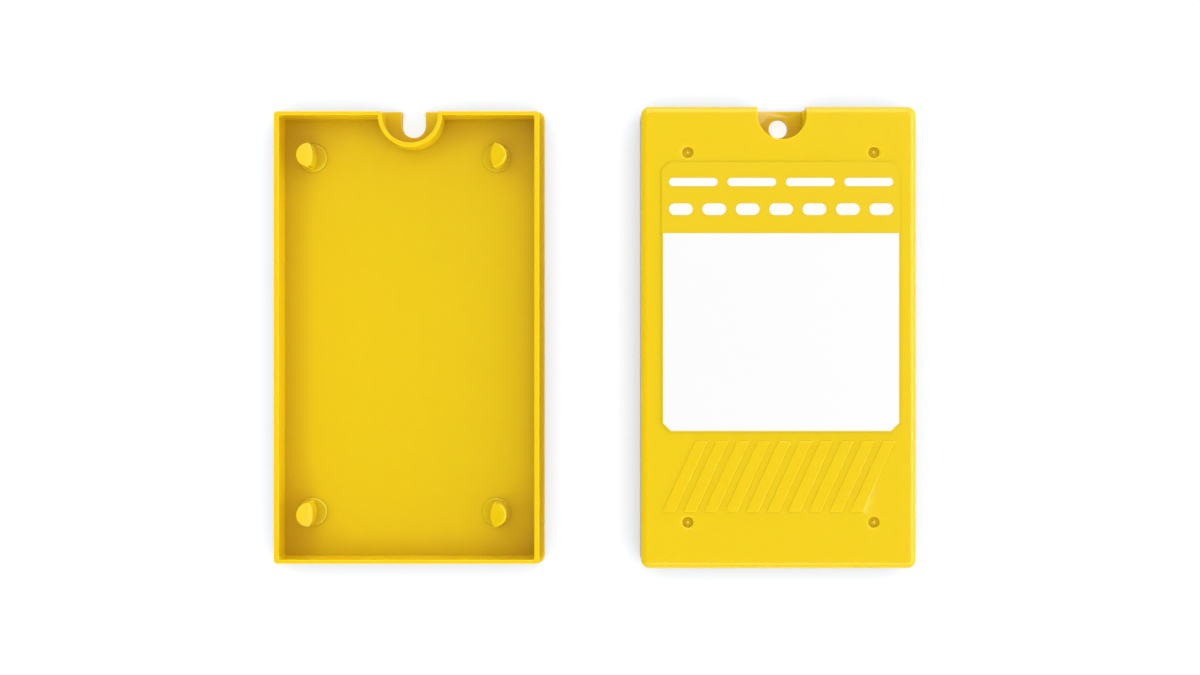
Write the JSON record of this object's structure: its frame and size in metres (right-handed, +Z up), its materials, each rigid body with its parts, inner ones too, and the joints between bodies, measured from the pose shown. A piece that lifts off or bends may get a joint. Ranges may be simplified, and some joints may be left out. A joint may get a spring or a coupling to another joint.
{
  "type": "break glass key box",
  "caption": "Flat two-part plastic box for a spare key, with a lift-off front cover that presses onto pegs in a back tray, a write-on label and a hanging notch.",
  "frame": {"origin": "on the surface, under the middle of the pair's bounding box: the tray lies on the left and the cover on the right, as in the picture", "axes": "+X from the tray to the cover, +Y towards the hanging notches, +Z up from the surface"},
  "size_m": [0.1334, 0.0954, 0.01],
  "materials": {
    "yellow_plastic": "bright yellow moulded plastic, smooth, between satin and gloss",
    "label_film": "yellow printed label film, even satin",
    "white_panel": "white write-on surface, even and matte",
    "white_print": "white print, thin and even"
  },
  "bodies": {
    "tray": {"back_tray": "yellow_plastic", "peg_top_left": "yellow_plastic", "peg_top_right": "yellow_plastic", "peg_foot_left": "yellow_plastic", "peg_foot_right": "yellow_plastic"},
    "cover": {"front_cover": "yellow_plastic", "label_sheet": "label_film", "write_on_panel": "white_panel", "header_marks": "white_print"}
  },
  "joints": [
    {"name": "cover_lift", "type": "slide", "parent": "tray", "child": "cover", "axis": [-0.8725, 0, 0.4885], "range_m": [0, 0.08802]}
  ]
}
